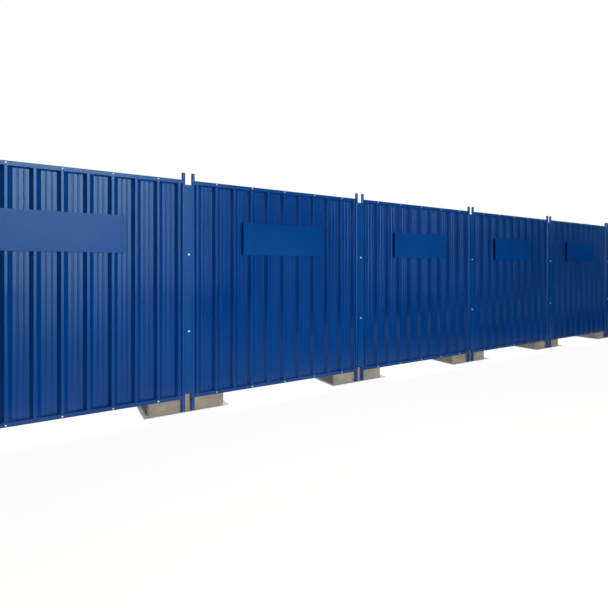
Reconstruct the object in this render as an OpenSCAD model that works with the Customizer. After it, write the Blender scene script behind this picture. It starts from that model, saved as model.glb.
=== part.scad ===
// Mobile steel hoarding: a run of profiled-sheet bays between round posts. Each joint
// stands on a galvanised base plate that a concrete block holds down.
// Millimetres. X runs along the fence, Y points behind it and Z is up. The origin is on
// the ground, under the middle joint, in the plane of the posts.

/* [Run] */
// Distance from one joint of the run to the next
bay_pitch = 2000; // [1600:10:2100]
// Clear height under the bottom rail
ground_gap = 126; // [100:1:200]
// Height of a panel over its two edge rails
panel_height = 2000; // [1500:10:2200]

/* [Posts] */
// Outside diameter of a post
post_d = 33.7; // [30:0.1:38]
// Wall thickness of a post
post_wall = 2.6; // [2:0.1:3.2]
// Distance between the two posts of a joint, centre to centre
post_spacing = 88; // [80:1:110]
// Length of post that stands above the top rail
post_above = 61; // [40:1:80]

/* [Edge rails] */
// Height of the folded edge rails
rail_height = 35; // [28:1:42]
// Plate thickness of the rails
rail_plate = 2; // [1.5:0.1:2.5]

/* [Profiled sheet] */
// Number of raised ribs on a sheet
rib_count = 11; // [5:1:11]
// Distance from rib to rib
rib_pitch = 183.3; // [150:0.1:184]
// Depth of the profile, front to back
profile_depth = 35; // [25:0.5:38]
// Width of the flat top of a rib
rib_top = 21.5; // [18:0.5:28]
// Width that each sloping side of a rib takes up
rib_flank = 27; // [18:0.5:28]
// Distance between the two grooves of a flat, centre to centre
groove_spacing = 41; // [32:1:44]
// Width of a groove where it meets the flat
groove_width = 14; // [10:0.5:16]
// Height of a groove over the flat
groove_height = 2.5; // [1.5:0.1:4]
// Thickness of the sheet
sheet_plate = 0.8; // [0.6:0.05:1.2]
// Radius of the bends between a rib and the flats
bend_radius = 5; // [2:0.5:6]

/* [Cover strips] */
// Width of the folded strip over a joint
strip_width = 88; // [80:1:96]
// Depth of the strip, from the posts to its face
strip_depth = 8; // [6:0.5:12]
// Plate thickness of the strip
strip_plate = 2.5; // [2:0.1:3]
// Distance that the strip ends short of the panel, at the top and at the bottom
strip_inset = 43; // [43:1:100]
// Height of the upper bolt above the bottom of the panel
upper_bolt = 1319; // [1200:1:1400]
// Height of the lower bolt above the bottom of the panel
lower_bolt = 616; // [400:1:700]
// Size of the square clamp plates behind the posts
clamp_size = 110; // [96:1:130]
// Thickness of the clamp plates
clamp_plate = 5; // [4:0.5:8]

/* [Sign plates] */
// Width of a sign plate
sign_width = 925; // [760:5:1000]
// Height of a sign plate
sign_height = 318; // [200:2:400]
// Height of the middle of a sign plate above the bottom of the panel
sign_level = 1483; // [1200:1:1600]
// Thickness of a sign plate
sign_plate = 2; // [1.5:0.1:4]

/* [Feet] */
// Width of a base plate, along the fence
base_width = 780; // [740:2:900]
// Depth of a base plate, front to back
base_depth = 760; // [720:5:900]
// Distance that a base plate reaches in front of the middle of the posts
base_front = 22; // [20:1:40]
// Thickness of a base plate
base_plate = 6; // [5:0.5:10]
// Radius of the corners of a base plate
base_corner = 6; // [3:1:20]
// Width of a ballast block, along the fence
block_width = 706; // [600:2:720]
// Depth of a ballast block
block_depth = 650; // [500:5:680]
// Height of a ballast block
block_height = 180; // [140:5:220]
// Distance from the middle of the posts back to the front of a block
block_back = 30; // [28:1:50]
// Width of the chamfer along the edges of a block
block_chamfer = 14; // [5:1:25]
// Diameter of the spigots that the posts drop over
spigot_d = 26; // [22:0.5:27]
// Height of the spigots above the base plate
spigot_height = 90; // [60:5:120]

/* [Hidden] */
bay_count = 6;
BAYS = [1:bay_count];
JOINTS = [0:bay_count];
JOINT_NAMES = ["left_end", "joint_1", "joint_2", "joint_3", "joint_4", "joint_5", "right_end"];

coat_blue = [0.04, 0.27, 0.55];
zinc_grey = [0.74, 0.75, 0.76];
concrete_grey = [0.59, 0.55, 0.49];
round_faces = 64;

panel_top = ground_gap + panel_height;
post_r = post_d / 2;
post_reach = bay_pitch / 2 - post_spacing / 2;
rail_depth = profile_depth + 2 * rail_plate;
sheet_height = panel_height - 2 * rail_plate;
rib_foot = rib_top / 2 + rib_flank;
rib_front = -profile_depth / 2;
flat_front = profile_depth / 2 - sheet_plate;
groove_top = groove_width / 3;
bend_steps = 3;
sheet_end = max(post_reach, (rib_count - 1) / 2 * rib_pitch + rib_foot + 2 * bend_radius);
sign_count = bay_count;

// Middle of bay b, and of joint j, along the fence
function bay_x(b) = (b - (bay_count + 1) / 2) * bay_pitch;
function joint_x(j) = (j - bay_count / 2) * bay_pitch;

// The posts at joint j, as offsets from its middle: an end joint has only the post
// of the bay that is there
function post_offsets(j) = [
    for (side = [-1, 1])
        if (j + (side + 1) / 2 >= 1 && j + (side + 1) / 2 <= bay_count)
            side * post_spacing / 2
];

// A folded sheet's outline: the face that the path gives, and the same path moved
// by the thickness square to each of its stretches
function unit(v) = v / norm(v);
function square_to(a, b) = let (d = unit(b - a)) [-d[1], d[0]];
function mitre(path, i) =
    let (
        last = len(path) - 1,
        before = square_to(path[max(i - 1, 0)], path[max(i, 1)]),
        after = square_to(path[min(i, last - 1)], path[min(i + 1, last)]),
        middle = unit(before + after)
    )
    middle / (middle * before);
function folded(path, plate) = concat(
    path,
    [for (i = [len(path) - 1:-1:0]) path[i] + plate * mitre(path, i)]
);

// The arc that takes the place of corner b, on the way from a to c
function bend(a, b, c) =
    let (
        d = unit(b - a),
        e = unit(c - b),
        turn = atan2(d[0] * e[1] - d[1] * e[0], d * e),
        start = b - d * bend_radius * tan(abs(turn) / 2),
        spoke = bend_radius * sign(turn) * [-d[1], d[0]]
    )
    [
        for (k = [0:bend_steps])
            let (w = turn * k / bend_steps)
            start + spoke - [
                spoke[0] * cos(w) - spoke[1] * sin(w),
                spoke[0] * sin(w) + spoke[1] * cos(w)
            ]
    ];

// One raised rib with its four bends, and one groove, along the front face of the sheet
function rib(x) =
    let (
        line = [
            [x - 2 * rib_foot, flat_front],
            [x - rib_foot, flat_front],
            [x - rib_top / 2, rib_front],
            [x + rib_top / 2, rib_front],
            [x + rib_foot, flat_front],
            [x + 2 * rib_foot, flat_front]
        ]
    )
    [for (i = [1:4]) each bend(line[i - 1], line[i], line[i + 1])];
function groove(x) = [
    [x - groove_width / 2, flat_front],
    [x - groove_top / 2, flat_front - groove_height],
    [x + groove_top / 2, flat_front - groove_height],
    [x + groove_width / 2, flat_front]
];

// Front face of a whole sheet, from post to post
function sheet_path() = concat(
    [[-sheet_end, flat_front]],
    [
        for (i = [0:rib_count - 1])
            let (x = (i - (rib_count - 1) / 2) * rib_pitch)
            each concat(
                rib(x),
                i == rib_count - 1 ? [] : groove(x + rib_pitch / 2 - groove_spacing / 2),
                i == rib_count - 1 ? [] : groove(x + rib_pitch / 2 + groove_spacing / 2)
            )
    ],
    [[sheet_end, flat_front]]
);

// Room that the two posts of bay b take out of its rails and its sheet
module post_room(b) {
    for (side = [-1, 1])
        translate([bay_x(b) + side * post_reach, 0, 0])
            cylinder(d = post_d, h = panel_top + post_above, $fn = round_faces);
}

// Round tubes, one for each bay that meets at the joint
module posts(j) {
    height = panel_top + post_above - base_plate;
    color(coat_blue)
        for (x = post_offsets(j))
            translate([joint_x(j) + x, 0, base_plate])
                difference() {
                    cylinder(d = post_d, h = height, $fn = round_faces);
                    translate([0, 0, -1])
                        cylinder(d = post_d - 2 * post_wall, h = height + 2, $fn = round_faces);
                }
}

// A folded channel between the posts of a bay, with its web down and its ends cut
// to the round of the posts
module rail(b) {
    difference() {
        translate([bay_x(b) - post_reach, 0, 0])
            rotate([90, 0, 90])
                linear_extrude(2 * post_reach)
                    difference() {
                        translate([-rail_depth / 2, 0])
                            square([rail_depth, rail_height]);
                        translate([-profile_depth / 2, rail_plate])
                            square([profile_depth, rail_height]);
                    }
        translate([0, 0, -1])
            post_room(b);
    }
}

module bottom_rail(b) {
    color(coat_blue)
        translate([0, 0, ground_gap])
            rail(b);
}

module top_rail(b) {
    color(coat_blue)
        translate([0, 0, panel_top])
            mirror([0, 0, 1])
                rail(b);
}

// The trapezoidal sheet stands in the two rails, and its outer ribs run into the posts
// and end inside their round
module profiled_sheet(b) {
    color(coat_blue)
        difference() {
            translate([bay_x(b), 0, ground_gap + rail_plate])
                linear_extrude(sheet_height)
                    polygon(folded(sheet_path(), sheet_plate));
            post_room(b);
            for (side = [-1, 1])
                translate([
                    bay_x(b) + side * (post_reach - post_r / 2 + sheet_end) - sheet_end,
                    -profile_depth,
                    ground_gap
                ])
                    cube([2 * sheet_end, 2 * profile_depth, panel_height]);
        }
}

// A plain plate on the ribs of each bay
module sign_plates() {
    color(coat_blue)
        for (b = BAYS)
            translate([
                bay_x(b) - sign_width / 2,
                rib_front - sign_plate,
                ground_gap + sign_level - sign_height / 2
            ])
                cube([sign_width, sign_plate, sign_height]);
}

// A folded strip in front of the two posts, and the clamp plates behind them that
// its bolts pull against
module cover_strip(j) {
    color(coat_blue)
        translate([joint_x(j), -post_r, ground_gap + strip_inset])
            linear_extrude(panel_height - 2 * strip_inset)
                difference() {
                    translate([-strip_width / 2, -strip_depth])
                        square([strip_width, strip_depth]);
                    translate([-strip_width / 2 + strip_plate, -strip_depth + strip_plate])
                        square([strip_width - 2 * strip_plate, strip_depth]);
                }
    color(zinc_grey)
        for (level = [lower_bolt, upper_bolt])
            translate([joint_x(j) - clamp_size / 2, post_r, ground_gap + level - clamp_size / 2])
                cube([clamp_size, clamp_plate, clamp_size]);
}

// A plate with rounded corners, and a spigot for each post that can stand on it
module foot_plate(j) {
    color(zinc_grey)
        translate([joint_x(j), 0, 0]) {
            linear_extrude(base_plate) {
                translate([-base_width / 2 + base_corner, -base_front])
                    square([base_width - 2 * base_corner, base_depth]);
                translate([-base_width / 2, -base_front + base_corner])
                    square([base_width, base_depth - 2 * base_corner]);
                for (x = [-1, 1], y = [base_corner, base_depth - base_corner])
                    translate([x * (base_width / 2 - base_corner), y - base_front])
                        circle(base_corner, $fn = round_faces);
            }
            for (side = [-1, 1])
                translate([side * post_spacing / 2, 0, 0])
                    cylinder(d = spigot_d, h = base_plate + spigot_height, $fn = round_faces);
        }
}

// A rectangle with its corners cut off, two of them or all four
module chamfered(w, d, lower) {
    c = block_chamfer;
    polygon(concat(
        [[w, c], [w, d - c], [w - c, d], [c, d], [0, d - c]],
        lower ? [[0, c], [c, 0], [w - c, 0]] : [[0, 0], [w, 0]]
    ));
}

// A cast block, chamfered along its upright edges and round its top
module ballast_block(j) {
    color(concrete_grey)
        translate([joint_x(j) - block_width / 2, block_back, base_plate])
            intersection() {
                linear_extrude(block_height)
                    chamfered(block_width, block_depth, true);
                translate([0, block_depth, 0])
                    rotate([90, 0, 0])
                        linear_extrude(block_depth)
                            chamfered(block_width, block_height, false);
                rotate([90, 0, 90])
                    linear_extrude(block_width)
                        chamfered(block_depth, block_height, false);
            }
}

for (j = JOINTS) {
    posts(j);
    foot_plate(j);
    ballast_block(j);
}
for (b = BAYS) {
    top_rail(b);
    bottom_rail(b);
    profiled_sheet(b);
}
for (j = [1:bay_count - 1])
    cover_strip(j);
sign_plates();
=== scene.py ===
import math

import bpy
import bmesh
from mathutils import Matrix, Vector


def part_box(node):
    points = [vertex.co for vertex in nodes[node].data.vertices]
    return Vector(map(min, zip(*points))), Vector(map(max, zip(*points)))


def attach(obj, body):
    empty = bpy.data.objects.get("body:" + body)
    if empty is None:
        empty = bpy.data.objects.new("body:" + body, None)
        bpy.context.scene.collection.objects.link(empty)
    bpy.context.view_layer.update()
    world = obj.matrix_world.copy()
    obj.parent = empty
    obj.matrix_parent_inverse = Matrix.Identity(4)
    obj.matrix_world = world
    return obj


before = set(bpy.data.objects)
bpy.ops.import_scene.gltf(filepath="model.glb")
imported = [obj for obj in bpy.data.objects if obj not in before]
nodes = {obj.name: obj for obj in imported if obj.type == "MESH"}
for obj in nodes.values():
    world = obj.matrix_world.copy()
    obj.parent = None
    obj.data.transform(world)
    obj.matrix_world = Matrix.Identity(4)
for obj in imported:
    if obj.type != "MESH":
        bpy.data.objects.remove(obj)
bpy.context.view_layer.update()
scene = bpy.context.scene

# The posts stand at seven places along the row: its ends and the five joints between its six bays
BAYS = range(1, 7)
INNER_JOINTS = range(1, 6)
PLACES = ["left_end"] + [f"joint_{j}" for j in INNER_JOINTS] + ["right_end"]

# Thicknesses of a cover strip's plate and of the clamp plates behind it
STRIP_PLATE, CLAMP_PLATE = 0.0025, 0.005


# ---------------------------------------------------------------- shader helpers

class Tree:
    """Short ways to add and join the shader nodes of one material or world."""

    def __init__(self, owner):
        owner.use_nodes = True
        self.nodes, self.links = owner.node_tree.nodes, owner.node_tree.links
        self.nodes.clear()

    def add(self, kind):
        return self.nodes.new("ShaderNode" + kind)

    def feed(self, value, socket):
        """Link value to the socket, or set it there if it is a plain number or colour."""
        if isinstance(value, bpy.types.NodeSocket):
            self.links.new(value, socket)
        else:
            socket.default_value = value

    def maths(self, operation, a, b):
        node = self.add("Math")
        node.operation = operation
        self.feed(a, node.inputs[0])
        self.feed(b, node.inputs[1])
        return node.outputs[0]

    def spread(self, value, low, high, to_low=0.0, to_high=1.0):
        """value from low..high to to_low..to_high, smoothly and held at the ends."""
        node = self.add("MapRange")
        node.interpolation_type = "SMOOTHSTEP"
        for i, v in enumerate((value, low, high, to_low, to_high)):
            self.feed(v, node.inputs[i])
        return node.outputs[0]

    def mix(self, factor, a, b):
        node = self.add("Mix")
        node.data_type = "RGBA"
        self.feed(factor, node.inputs[0])
        self.feed(a, node.inputs[6])
        self.feed(b, node.inputs[7])
        return node.outputs[2]

    def noise(self, place, scale, detail=3.0, roughness=0.5, stretch=(1, 1, 1)):
        if stretch != (1, 1, 1):
            mapping = self.add("Mapping")
            self.links.new(place, mapping.inputs[0])
            mapping.inputs["Scale"].default_value = stretch
            place = mapping.outputs[0]
        node = self.add("TexNoise")
        self.links.new(place, node.inputs["Vector"])
        node.inputs["Scale"].default_value = scale
        node.inputs["Detail"].default_value = detail
        node.inputs["Roughness"].default_value = roughness
        return node.outputs[0]

    def cells(self, place, scale):
        node = self.add("TexVoronoi")
        self.links.new(place, node.inputs["Vector"])
        node.inputs["Scale"].default_value = scale
        return node.outputs

    def bump(self, height, strength, distance, normal):
        node = self.add("Bump")
        node.inputs["Strength"].default_value = strength
        node.inputs["Distance"].default_value = distance
        self.links.new(height, node.inputs["Height"])
        self.links.new(normal, node.inputs["Normal"])
        return node.outputs[0]

    def where(self):
        """Position in metres in the row's frame."""
        return self.add("NewGeometry").outputs["Position"]

    def axes(self, place):
        """The x, y and z of a place."""
        node = self.add("SeparateXYZ")
        self.links.new(place, node.inputs[0])
        return node.outputs

    def seen(self):
        """1 for rays that show the backdrop: from the camera, mirrored or let through."""
        rays = self.add("LightPath").outputs
        passed_on = self.maths("MAXIMUM", rays["Is Glossy Ray"], rays["Is Transmission Ray"])
        return self.maths("MAXIMUM", rays["Is Camera Ray"], passed_on)

    def end(self, shader, output="OutputMaterial"):
        self.links.new(shader.outputs[0], self.add(output).inputs[0])


def shade(colour, factor):
    return tuple(min(1.0, c * factor) for c in colour[:3]) + (1.0,)


def edge_mask(t, radius):
    """1 along edges that a worn finish would lose first, 0 on flat faces; and softened normals."""
    soft = t.add("Bevel")
    soft.samples = 4
    soft.inputs["Radius"].default_value = radius
    hard = t.add("NewGeometry").outputs["Normal"]
    dot = t.add("VectorMath")
    dot.operation = "DOT_PRODUCT"
    t.links.new(soft.outputs[0], dot.inputs[0])
    t.links.new(hard, dot.inputs[1])
    return t.spread(dot.outputs["Value"], 0.97, 0.85), soft.outputs[0]


def surface(t, tone, rough, normal, gloss=0.5, metallic=0.0):
    """The shader that a material ends in. gloss is its specular level."""
    shader = t.add("BsdfPrincipled")
    t.feed(tone, shader.inputs["Base Color"])
    t.feed(rough, shader.inputs["Roughness"])
    t.feed(normal, shader.inputs["Normal"])
    shader.inputs["Specular IOR Level"].default_value = gloss
    shader.inputs["Metallic"].default_value = metallic
    t.end(shader)


# ---------------------------------------------------------------- materials

DUST = (0.34, 0.3, 0.25, 1)
SAND = (0.36, 0.31, 0.25, 1)


def coat(name, colour, plate=0.002, rough=0.16, gloss=0.45, streaks=1.0, ripple=1.0):
    """Smooth organic coating on a steel plate: faint rain streaks and dust, worn edges."""
    mat = bpy.data.materials.new(name)
    t = Tree(mat)
    where = t.where()
    height = t.axes(where)["Z"]
    edge, rounded = edge_mask(t, plate * 0.35)
    patch = t.noise(where, 0.9, 3.0, 0.55)
    streak = t.noise(where, 26.0, 4.0, 0.6, (1.0, 1.0, 0.035))
    fine = t.noise(where, 420.0, 2.0)

    tone = t.mix(t.spread(patch, 0.3, 0.7), shade(colour, 0.93), shade(colour, 1.07))
    tone = t.mix(t.spread(streak, 0.52, 0.72, 0.0, 0.16 * streaks), tone, shade(colour, 1.3))
    tone = t.mix(t.spread(streak, 0.46, 0.28, 0.0, 0.2 * streaks), tone, shade(colour, 0.72))
    # dust that rain splashes up from the ground
    dust = t.maths("MULTIPLY", t.spread(height, 0.3, 0.05), t.spread(patch, 0.35, 0.75, 0.02, 0.13))
    tone = t.mix(dust, tone, DUST)
    worn = t.maths("MULTIPLY", edge, t.spread(fine, 0.45, 0.62, 0.1, 0.55))
    tone = t.mix(worn, tone, shade(colour, 1.9))

    dull = t.maths("ADD", t.maths("MULTIPLY", dust, 1.2), t.spread(streak, 0.4, 0.7, -0.03, 0.05))
    rough_now = t.maths("ADD", t.spread(patch, 0.3, 0.7, rough - 0.04, rough + 0.04), dull)
    # the grain of the coating, then the slight waves of a rolled plate
    grain = t.bump(t.noise(where, 320.0, 2.0), 0.05, 0.0006, rounded)
    waves = t.noise(where, 1.3, 1.0, 0.3, (1.0, 1.0, 0.7))
    surface(t, tone, rough_now, t.bump(waves, 0.01 * ripple, 0.02, grain), gloss)
    return mat


def zinc(name, colour, rough, spangle, scale, metallic=0.85):
    """Zinc on steel: crystals of slightly different tone and shine, dulled edges."""
    mat = bpy.data.materials.new(name)
    t = Tree(mat)
    where = t.where()
    edge, rounded = edge_mask(t, 0.0012)
    crystal = t.cells(where, scale)["Color"]
    cloud = t.noise(where, 9.0, 4.0, 0.6)
    tone = t.mix(t.spread(crystal, 0.2, 0.8), shade(colour, 1 - spangle), shade(colour, 1 + spangle))
    tone = t.mix(t.spread(cloud, 0.5, 0.75, 0.0, 0.3), tone, shade(colour, 0.72))
    tone = t.mix(t.maths("MULTIPLY", edge, 0.35), tone, shade(colour, 1.25))
    surface(t, tone, t.spread(crystal, 0.1, 0.9, rough - 0.07, rough + 0.09),
            t.bump(t.noise(where, 260.0, 3.0), 0.12, 0.0006, rounded), metallic=metallic)
    return mat


def concrete(name, colour):
    """Cast concrete: cloudy cement, sand grains, pores with painted shade in them, and darker towards the
    bottom.
    """
    mat = bpy.data.materials.new(name)
    t = Tree(mat)
    where = t.where()
    height = t.axes(where)["Z"]
    edge, rounded = edge_mask(t, 0.006)
    cloud = t.noise(where, 4.5, 5.0, 0.62)
    grain = t.noise(where, 180.0, 3.0, 0.7)
    pores = t.cells(where, 62.0)["Distance"]
    # only some of the cells have a pore
    keep = t.noise(where, 21.0, 2.0)
    pore = t.maths("MULTIPLY", t.spread(pores, 0.16, 0.09), t.spread(keep, 0.5, 0.6))

    tone = t.mix(t.spread(cloud, 0.3, 0.7), shade(colour, 0.8), shade(colour, 1.16))
    tone = t.mix(t.spread(grain, 0.35, 0.75, 0.0, 0.4), tone, SAND)
    # darker towards the bottom, over the lowest 7 cm
    tone = t.mix(t.spread(height, 0.07, 0.0, 0.0, 0.35), tone, shade(colour, 0.6))
    # painted shade in the pores' hollows
    tone = t.mix(t.maths("MULTIPLY", pore, 0.75), tone, shade(colour, 0.28))
    worn = t.maths("MULTIPLY", edge, t.spread(grain, 0.4, 0.6, 0.1, 0.5))
    tone = t.mix(worn, tone, shade(colour, 1.5))

    rise = t.maths("ADD", t.maths("MULTIPLY", grain, 0.35), cloud)
    relief = t.maths("SUBTRACT", rise, t.maths("MULTIPLY", pore, 1.6))
    surface(t, tone, t.spread(grain, 0.3, 0.7, 0.82, 0.95), t.bump(relief, 0.5, 0.002, rounded), 0.3)
    return mat


def plastic(name, colour, rough=0.55):
    """Moulded plastic or rubber with a fine grain."""
    mat = bpy.data.materials.new(name)
    t = Tree(mat)
    where = t.where()
    edge, rounded = edge_mask(t, 0.0008)
    cloud = t.noise(where, 35.0, 3.0)
    tone = t.mix(t.spread(cloud, 0.35, 0.65), shade(colour, 0.8), shade(colour, 1.25))
    tone = t.mix(t.maths("MULTIPLY", edge, 0.3), tone, shade(colour, 2.2))
    surface(t, tone, t.spread(cloud, 0.3, 0.7, rough - 0.06, rough + 0.08),
            t.bump(t.noise(where, 900.0, 2.0), 0.15, 0.0003, rounded))
    return mat


SHEET = coat("coated_sheet", (0.0006, 0.057, 0.275), plate=0.0008)
RAIL = coat("coated_rail", (0.003, 0.064, 0.275), rough=0.2, gloss=0.4, streaks=0.5)
TUBE = coat("coated_tube", (0.003, 0.082, 0.365), plate=0.0026, rough=0.22, gloss=0.7,
            streaks=0.4, ripple=0.2)
STRIP = coat("coated_strip", (0.0005, 0.069, 0.292), rough=0.18, gloss=0.42, streaks=0.6, ripple=0.5)
SIGN = coat("sign_enamel", (0.001, 0.067, 0.31), rough=0.18, gloss=0.25, streaks=0.25, ripple=0.4)
# The base plates' zinc is a lighter copy of the clamps' zinc: painted light for the light on the plates'
# tops.
GALV = zinc("galvanised_steel", (0.86, 0.87, 0.88), rough=0.48, spangle=0.08, scale=55.0, metallic=0.6)
CLAMP = zinc("galvanised_clamp", (0.6, 0.61, 0.62), rough=0.48, spangle=0.1, scale=55.0)
BRIGHT = zinc("zinc_plate", (0.93, 0.96, 1.0), rough=0.32, spangle=0.03, scale=240.0, metallic=0.45)
BLOCK = concrete("cast_concrete", (0.47, 0.385, 0.3))
BLACK = plastic("black_plastic", (0.03, 0.03, 0.034))


def dress(node, *materials):
    mesh = nodes[node].data
    mesh.materials.clear()
    for m in materials:
        mesh.materials.append(m)


def dress_cover_strip(node):
    """The strip is blue and its two clamp plates are zinc: told apart by where they lie."""
    margin = 0.0005
    dress(node, STRIP, CLAMP)
    low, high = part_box(node)
    clamps_from = high.y - CLAMP_PLATE - margin
    for face in nodes[node].data.polygons:
        face.material_index = 1 if face.center.y > clamps_from else 0


for place in PLACES:
    dress("posts_" + place, TUBE)
    dress("base_plate_" + place, GALV)
    dress("ballast_block_" + place, BLOCK)
for b in BAYS:
    dress(f"top_rail_{b}", RAIL)
    dress(f"bottom_rail_{b}", RAIL)
    dress(f"profiled_sheet_{b}", SHEET)
dress("sign_plates", SIGN)
for j in INNER_JOINTS:
    dress_cover_strip(f"cover_strip_{j}")


# ---------------------------------------------------------------- mesh helpers

def turned(bm, profile, place, steps=24):
    """A body turned round the local Z axis from (radius, height) pairs, closed at both ends."""
    angles = [2 * math.pi * i / steps for i in range(steps)]
    rings = []
    for radius, height in profile:
        if radius < 1e-6:
            rings.append([bm.verts.new(place @ Vector((0, 0, height)))])
        else:
            rings.append([bm.verts.new(place @ Vector((radius * math.cos(a), radius * math.sin(a), height)))
                          for a in angles])
    for low, high in zip(rings, rings[1:]):
        n = max(len(low), len(high))
        for i in range(n):
            k = (i + 1) % n
            corners = [low[i % len(low)], low[k % len(low)], high[k % len(high)], high[i % len(high)]]
            corners = list(dict.fromkeys(corners))
            if len(corners) > 2:
                bm.faces.new(corners)


def made(bm, name, material, smooth=35.0):
    """The mesh as a piece on the frame's one body; faces meet smoothly below that many degrees."""
    bmesh.ops.recalc_face_normals(bm, faces=bm.faces)
    mesh = bpy.data.meshes.new(name)
    bm.to_mesh(mesh)
    bm.free()
    mesh.materials.append(material)
    obj = bpy.data.objects.new(name, mesh)
    scene.collection.objects.link(obj)
    mesh.shade_smooth()
    mesh.set_sharp_from_angle(angle=math.radians(smooth))
    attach(obj, "root")


def facing(x, y, z, direction, turn=0.0):
    """Local Z along direction, standing at the point given."""
    spin = Vector(direction).to_track_quat("Z", "Y").to_matrix().to_4x4()
    return Matrix.Translation((x, y, z)) @ spin @ Matrix.Rotation(turn, 4, "Z")


def hexagon(bm, place, across, height, base):
    """A hexagon head with the chamfer that forging leaves on its corners."""
    r = across / math.sqrt(3)
    c = height * 0.16
    top = base + height
    turned(bm, [(0, base), (r * 0.985, base), (r, base + c * 0.4), (r, top - c),
                (r * 0.93, top - c * 0.25), (r * 0.84, top), (0, top)], place, 6)


def threaded(bm, place, radius, start, end, pitch):
    """The end of a bolt with its thread."""
    profile = [(0, start)]
    h = start
    while h < end - pitch:
        profile += [(radius, h + pitch * 0.15), (radius, h + pitch * 0.4), (radius * 0.88, h + pitch * 0.8)]
        h += pitch
    profile += [(radius * 0.86, end - pitch * 0.3), (radius * 0.78, end), (0, end)]
    turned(bm, profile, place, 20)


def bead(bm, path, up, radius, closed=False):
    """A weld bead along the path, with the ripples that a cooling pool leaves."""
    last, around = len(path) - 1, 12
    angles = [2 * math.pi * k / around for k in range(around)]
    rings = []
    for i, point in enumerate(path):
        if closed:
            before, after = path[i - 1], path[(i + 1) % len(path)]
        else:
            before, after = path[max(i - 1, 0)], path[min(i + 1, last)]
        side = (after - before).cross(up).normalized()
        r = radius * (1 + 0.13 * math.sin(i * 2.1) + 0.05 * math.sin(i * 0.7 + 1))
        if not closed:
            # both ends run out
            r *= min(1.0, 0.45 + 0.28 * min(i, last - i))
        rings.append([bm.verts.new(point + r * (math.cos(a) * side + math.sin(a) * up)) for a in angles])
    following = rings[1:] + (rings[:1] if closed else [])
    for low, high in zip(rings, following):
        for k in range(around):
            n = (k + 1) % around
            bm.faces.new([low[k], low[n], high[n], high[k]])
    if not closed:
        bm.faces.new(rings[0])
        bm.faces.new(rings[-1])


def arc(x, z, radius, way, degrees):
    """Points on a level circle about (x, 0, z) at the angles given; way 1 starts to its right."""
    return [Vector((x + way * radius * math.cos(a), radius * math.sin(a), z))
            for a in (math.radians(d) for d in degrees)]


# ---------------------------------------------------------------- welds

UP, ACROSS = Vector((0, 0, 1)), Vector((0, 1, 0))


def rail_welds(b):
    """The beads between a bay's rails and posts: up the flanges' ends and round the web's."""
    flange_bead, flange_sink, flange_gap = 0.0019, 0.0014, 0.0006
    foot, step, steps = 0.002, 0.00105, 31
    web_bead, web_gap, round_post = 0.0017, 0.0001, 0.0172
    welds = bmesh.new()
    for rail, outward in ((f"top_rail_{b}", 1), (f"bottom_rail_{b}", -1)):
        low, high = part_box(rail)
        web = high.z if outward > 0 else low.z
        for side in (-1, 1):
            # the rail's flanges end over the middle of the post, its web is cut to the post's round
            end = high.x if side > 0 else low.x
            x = end + side * flange_gap
            for face in (-1, 1):
                y = (low.y if face < 0 else high.y) - face * flange_sink
                path = [Vector((x, y, low.z + foot + i * step)) for i in range(steps)]
                bead(welds, path, ACROSS, flange_bead)
            path = arc(end, web + outward * web_gap, round_post, -side, range(-86, 87, 4))
            bead(welds, path, UP, web_bead)
    made(welds, f"rail_welds_{b}", RAIL, 60)


def spigot_weld(place):
    """The bead round the spigot of an end foot that no post stands on."""
    spigot_r, plate_top, size = 0.0134, 0.0066, 0.0024
    low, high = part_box("base_plate_" + place)
    inner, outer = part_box("posts_" + place)
    post = (inner.x + outer.x) / 2
    free = low.x + high.x - post
    ring = bmesh.new()
    bead(ring, arc(free, plate_top, spigot_r, 1, range(0, 360, 5)), UP, size, True)
    made(ring, f"spigot_weld_{place}", GALV, 60)


for b in BAYS:
    rail_welds(b)
for place in (PLACES[0], PLACES[-1]):
    spigot_weld(place)

# ---------------------------------------------------------------- fixings

RIB_PITCH = 0.1833
SCREW_RIBS = (-4, -2, 0, 2, 4)
SCREW_INSET = 0.0145
STRIP_BOLTS = (0.616, 1.319)

# (radius, height) pairs of the small turned parts, from the face that they sit on
SEAL = [(0, 0), (0.0064, 0), (0.0068, 0.0008), (0.0064, 0.0016), (0, 0.0016)]
SCREW_FLANGE = [(0, 0.0016), (0.0068, 0.0015), (0.0071, 0.002), (0.0068, 0.0026), (0.005, 0.0031),
                (0, 0.0031)]
BOLT_WASHER = [(0, 0), (0.0097, 0), (0.01, 0.0004), (0.01, 0.0016), (0.0096, 0.002), (0, 0.002)]
NUT_WASHER = [(0, 0), (0.0118, 0), (0.0122, 0.0006), (0.0122, 0.0019), (0.0117, 0.0025), (0, 0.0025)]


def rail_screws(b):
    """Self-drilling screws with their seals, through both rails at every second rib."""
    heads, seals = bmesh.new(), bmesh.new()
    for rail, is_top in ((f"top_rail_{b}", 1), (f"bottom_rail_{b}", 0)):
        low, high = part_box(rail)
        middle = (low.x + high.x) / 2
        z = high.z - SCREW_INSET if is_top else low.z + SCREW_INSET
        for i in SCREW_RIBS:
            # each stops at an angle of its own
            place = facing(middle + i * RIB_PITCH, low.y, z, (0, -1, 0), 0.35 * i + is_top)
            turned(seals, SEAL, place)
            turned(heads, SCREW_FLANGE, place)
            hexagon(heads, place, across=0.008, height=0.0048, base=0.0031)
    made(heads, f"rail_screws_{b}", BRIGHT)
    made(seals, f"screw_seals_{b}", BLACK)


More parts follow.
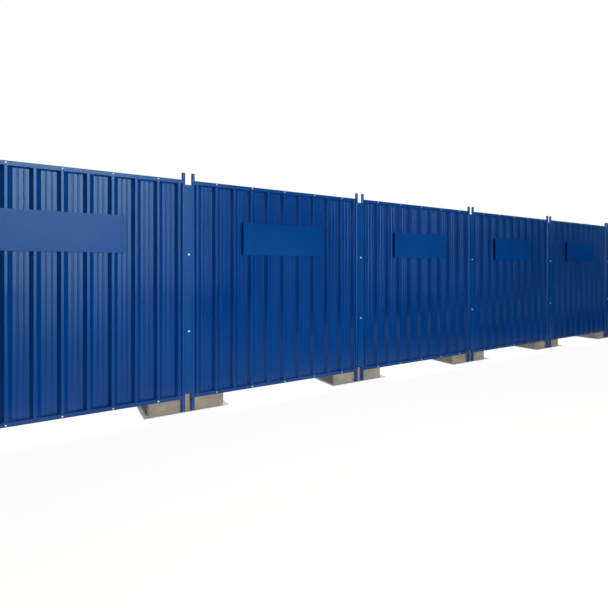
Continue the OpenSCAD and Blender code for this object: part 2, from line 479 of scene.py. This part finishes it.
def strip_bolts(j):
    """The two bolts of a cover strip, with their nuts behind the clamp plates."""
    low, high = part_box(f"cover_strip_{j}")
    middle = (low.x + high.x) / 2
    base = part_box(f"bottom_rail_{j}")[0].z
    # the shank runs from just behind the strip's plate to just before the clamp plate
    shank_r, front_gap, back_gap = 0.006, 0.0001, 0.0002
    shank_from = low.y + STRIP_PLATE + front_gap
    span = high.y - CLAMP_PLATE - back_gap - shank_from
    front, nuts = bmesh.new(), bmesh.new()
    for level in STRIP_BOLTS:
        z = base + level
        head = facing(middle, low.y, z, (0, -1, 0), 0.4 * j + level)
        turned(front, BOLT_WASHER, head, 32)
        hexagon(front, head, across=0.0155, height=0.0066, base=0.002)
        back = facing(middle, high.y, z, (0, 1, 0), 0.9 * j - level)
        turned(nuts, NUT_WASHER, back, 32)
        hexagon(nuts, back, across=0.019, height=0.0102, base=0.0025)
        threaded(nuts, back, shank_r, start=0.0127, end=0.0225, pitch=0.00175)
        shank = facing(middle, shank_from, z, (0, 1, 0))
        turned(nuts, [(0, 0), (shank_r, 0.0002), (shank_r, span), (0, span)], shank, 20)
    made(front, f"strip_bolts_{j}", BRIGHT)
    made(nuts, f"strip_nuts_{j}", BRIGHT)


def post_caps(place):
    """Black caps in the open tops of the posts."""
    low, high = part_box("posts_" + place)
    r = (high.y - low.y) / 2
    is_single = high.x - low.x < 3 * r
    caps = bmesh.new()
    for x in [low.x + r] if is_single else [low.x + r, high.x - r]:
        top = Matrix.Translation((x, (low.y + high.y) / 2, high.z))
        turned(caps, [(0, -0.018), (r - 0.0048, -0.018), (r - 0.0032, -0.0165), (r - 0.0029, -0.0005),
                      (r - 0.0006, 0.0), (r + 0.0002, 0.0008), (r + 0.0002, 0.0034), (r - 0.0006, 0.0048),
                      (r * 0.8, 0.0062), (r * 0.4, 0.007), (0, 0.0072)], top, 40)
    made(caps, f"post_caps_{place}", BLACK, 40)


for b in BAYS:
    rail_screws(b)
for j in INNER_JOINTS:
    strip_bolts(j)
for place in PLACES:
    post_caps(place)

# ---------------------------------------------------------------- camera, floor, world

cam = bpy.data.objects.new("camera", bpy.data.cameras.new("camera"))
scene.collection.objects.link(cam)
cam.data.sensor_width = 36.0
cam.data.lens = 24.45
cam.data.shift_y = -0.0577
cam.data.clip_end = 200
cam.location = (-5.038, -3.8145, 1.313)
cam.rotation_euler = (math.radians(90), 0, math.radians(-30.89))
scene.camera = cam


def paper_floor():
    """A wide pale floor that shows white, and still takes the row's shadow."""
    half_width, sink, glow_level = 60, 0.0004, 0.905
    mesh = bpy.data.meshes.new("floor")
    bm = bmesh.new()
    bmesh.ops.create_grid(bm, x_segments=1, y_segments=1, size=half_width)
    bm.to_mesh(mesh)
    bm.free()
    obj = bpy.data.objects.new("floor", mesh)
    obj.location = (0, 0, -sink)
    scene.collection.objects.link(obj)

    mat = bpy.data.materials.new("floor_paper")
    mat.cycles.emission_sampling = "NONE"
    t = Tree(mat)
    plain = t.add("BsdfDiffuse")
    # warm enough to come out neutral under the slightly cool lamps
    plain.inputs[0].default_value = (0.345, 0.312, 0.255, 1)
    glow = t.add("Emission")
    t.feed(t.maths("MULTIPLY", t.seen(), glow_level), glow.inputs["Strength"])
    both = t.add("AddShader")
    t.links.new(plain.outputs[0], both.inputs[0])
    t.links.new(glow.outputs[0], both.inputs[1])
    t.end(both)
    mesh.materials.append(mat)


def studio_world():
    """White where it is seen or mirrored; a dim, even fill as light."""
    world = bpy.data.worlds.new("studio")
    scene.world = world
    t = Tree(world)
    fill = t.add("Background")
    fill.inputs[0].default_value = (0.93, 0.96, 1.0, 1)
    fill.inputs[1].default_value = 0.095
    white = t.add("Background")
    white.inputs[0].default_value = (1, 1, 1, 1)
    pick = t.add("MixShader")
    t.links.new(t.seen(), pick.inputs[0])
    t.links.new(fill.outputs[0], pick.inputs[1])
    t.links.new(white.outputs[0], pick.inputs[2])
    t.end(pick, "OutputWorld")


paper_floor()
studio_world()


# ---------------------------------------------------------------- lamps and reflected cards

def lamp(name, at, to, size, power, colour):
    """A soft box that lights the row and shows neither to the camera nor in the coating."""
    data = bpy.data.lights.new(name, "AREA")
    data.shape = "RECTANGLE"
    data.size, data.size_y = size
    data.energy = power
    data.color = colour
    obj = bpy.data.objects.new(name, data)
    obj.location = at
    obj.rotation_euler = (Vector(to) - Vector(at)).to_track_quat("-Z", "Y").to_euler()
    scene.collection.objects.link(obj)
    obj.visible_camera = obj.visible_glossy = False


lamp("key", (-3.2, -7.0, 1.3), (-6.0, 0, 1.2), (3.6, 2.4), 312, (0.88, 0.95, 1.0))
lamp("fill", (3.6, -10.0, 1.4), (3.4, 0, 1.1), (7.0, 2.7), 215, (0.9, 0.96, 1.0))
lamp("fill_right", (7.0, -8.0, 1.4), (5.5, 0, 1.1), (5.0, 2.6), 112, (0.93, 0.96, 1.0))
lamp("end", (11.5, 1.2, 3.0), (6.0, 0.4, 0.3), (2.0, 2.0), 110, (0.93, 0.96, 1.0))
lamp("behind", (0.0, 6.5, 4.4), (0, 0.2, 0.7), (13.0, 2.4), 450, (0.93, 0.96, 1.0))


def reflected(name, corners, faces, light):
    """A glowing card, no lamp, that only reflections see: it paints the reflections in the coatings. light
    gives its strength and colour sockets.
    """
    mesh = bpy.data.meshes.new(name)
    mesh.from_pydata(corners, [], faces)
    obj = bpy.data.objects.new(name, mesh)
    scene.collection.objects.link(obj)
    reflection_glow = bpy.data.materials.new(name)
    # found by reflected rays alone, so that its level does not depend on the lamps
    reflection_glow.cycles.emission_sampling = "NONE"
    t = Tree(reflection_glow)
    strength, colour = light(t, t.axes(t.where()))
    glow = t.add("Emission")
    t.feed(colour, glow.inputs["Color"])
    t.feed(strength, glow.inputs["Strength"])
    t.end(glow)
    mesh.materials.append(reflection_glow)
    obj.visible_camera = obj.visible_diffuse = obj.visible_shadow = obj.visible_transmission = False


def wall_reflection_glow(t, axes):
    """Painted reflection: a tall bright patch in front of the row's left end that lights nothing; a dim
    glow elsewhere, paler along its top.
    """
    x, z = axes["X"], axes["Z"]
    side = t.maths("MULTIPLY", t.spread(x, 8.5, -4.5), t.spread(x, -14.0, -9.0))
    rise = t.maths("MULTIPLY", t.spread(z, -2.5, 8.5, 1.3, 3.4), t.spread(z, 15.0, 9.0))
    # the bright patch: a painted reflection, as of a soft box, on the coatings
    box = t.maths("MULTIPLY", side, rise)
    rim = t.maths("MULTIPLY", t.spread(z, 4.8, 8.0, 0.0, 0.5), t.spread(z, 12.0, 8.8))
    reflection_glow = t.maths("ADD", rim, t.spread(x, 20.0, 0.0, 0.0, 0.06))
    return t.maths("ADD", box, reflection_glow), t.mix(side, (0.42, 0.78, 1.15, 1), (0.97, 1.43, 1.5, 1))


def floor_reflection_glow(t, axes):
    """Painted reflection that stands in for the floor in reflections: bright before the left end and close
    to the row.
    """
    x, y = axes["X"], axes["Y"]
    stretch = t.maths("MULTIPLY", t.spread(x, -0.6, -5.2, 0.0, 0.52), t.spread(y, -1.5, -14.0, 1.0, 2.7))
    left = t.maths("MULTIPLY", stretch, t.spread(x, -7.4, -5.8))
    near = t.maths("MULTIPLY", t.spread(y, -2.6, -0.5), t.spread(x, 4.0, -2.0, 0.14, 0.34))
    colour = t.mix(t.spread(y, -0.8, -3.0), (0.8, 1.2, 1.2, 1), (0.7, 1.42, 1.7, 1))
    return t.maths("ADD", t.maths("MAXIMUM", left, near), 0.003), colour


# The wall card stands round the row's front and both its sides. The floor card lies a hair over
# the floor and ends just before the posts.
LEFT, RIGHT, FRONT, BACK, TOP = -70, 100, -24, 6, 34
LIFT, BEFORE_POSTS = 0.001, -0.04
round_row = [(LEFT, BACK), (LEFT, FRONT), (RIGHT, FRONT), (RIGHT, BACK)]
before_row = [(LEFT, FRONT), (RIGHT, FRONT), (RIGHT, BEFORE_POSTS), (LEFT, BEFORE_POSTS)]
reflected("wall_card", [(x, y, z) for z in (0, TOP) for x, y in round_row],
          [(i, i + 1, i + 5, i + 4) for i in range(3)], wall_reflection_glow)
reflected("floor_card", [(x, y, LIFT) for x, y in before_row], [(0, 1, 2, 3)], floor_reflection_glow)

scene.view_settings.view_transform = "Standard"
